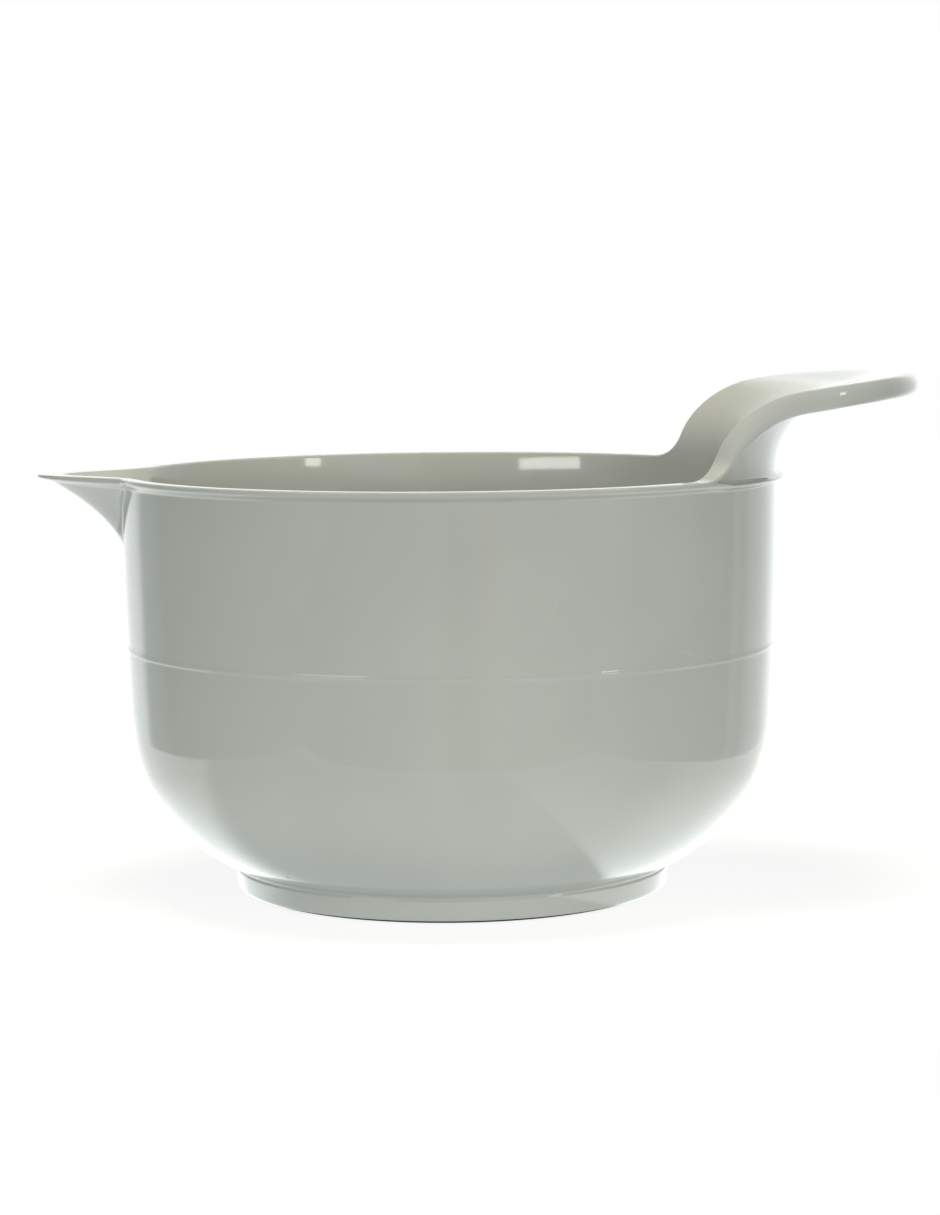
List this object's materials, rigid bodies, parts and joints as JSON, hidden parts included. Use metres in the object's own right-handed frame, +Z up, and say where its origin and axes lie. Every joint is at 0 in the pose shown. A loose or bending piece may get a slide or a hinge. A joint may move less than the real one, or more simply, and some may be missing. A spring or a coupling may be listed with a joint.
{
  "type": "batter bowl",
  "caption": "Deep round mixing bowl with a pointed pouring spout, an outward-bent handle raised above the rim, a low foot and a non-slip ring under it, for mixing and pouring batter.",
  "frame": {"origin": "on the bowl's axis, at the table that the non-slip ring rests on", "axes": "+Z up, +X from the axis towards the handle, so the spout points along -X"},
  "size_m": [0.2644, 0.2, 0.1559],
  "materials": {
    "melamine": "glossy moulded melamine, pale warm grey with a faint green cast",
    "ring_rubber": "matte soft rubber, dark grey"
  },
  "bodies": {
    "root": {"bowl": "melamine", "non_slip_ring": "ring_rubber"}
  },
  "joints": []
}
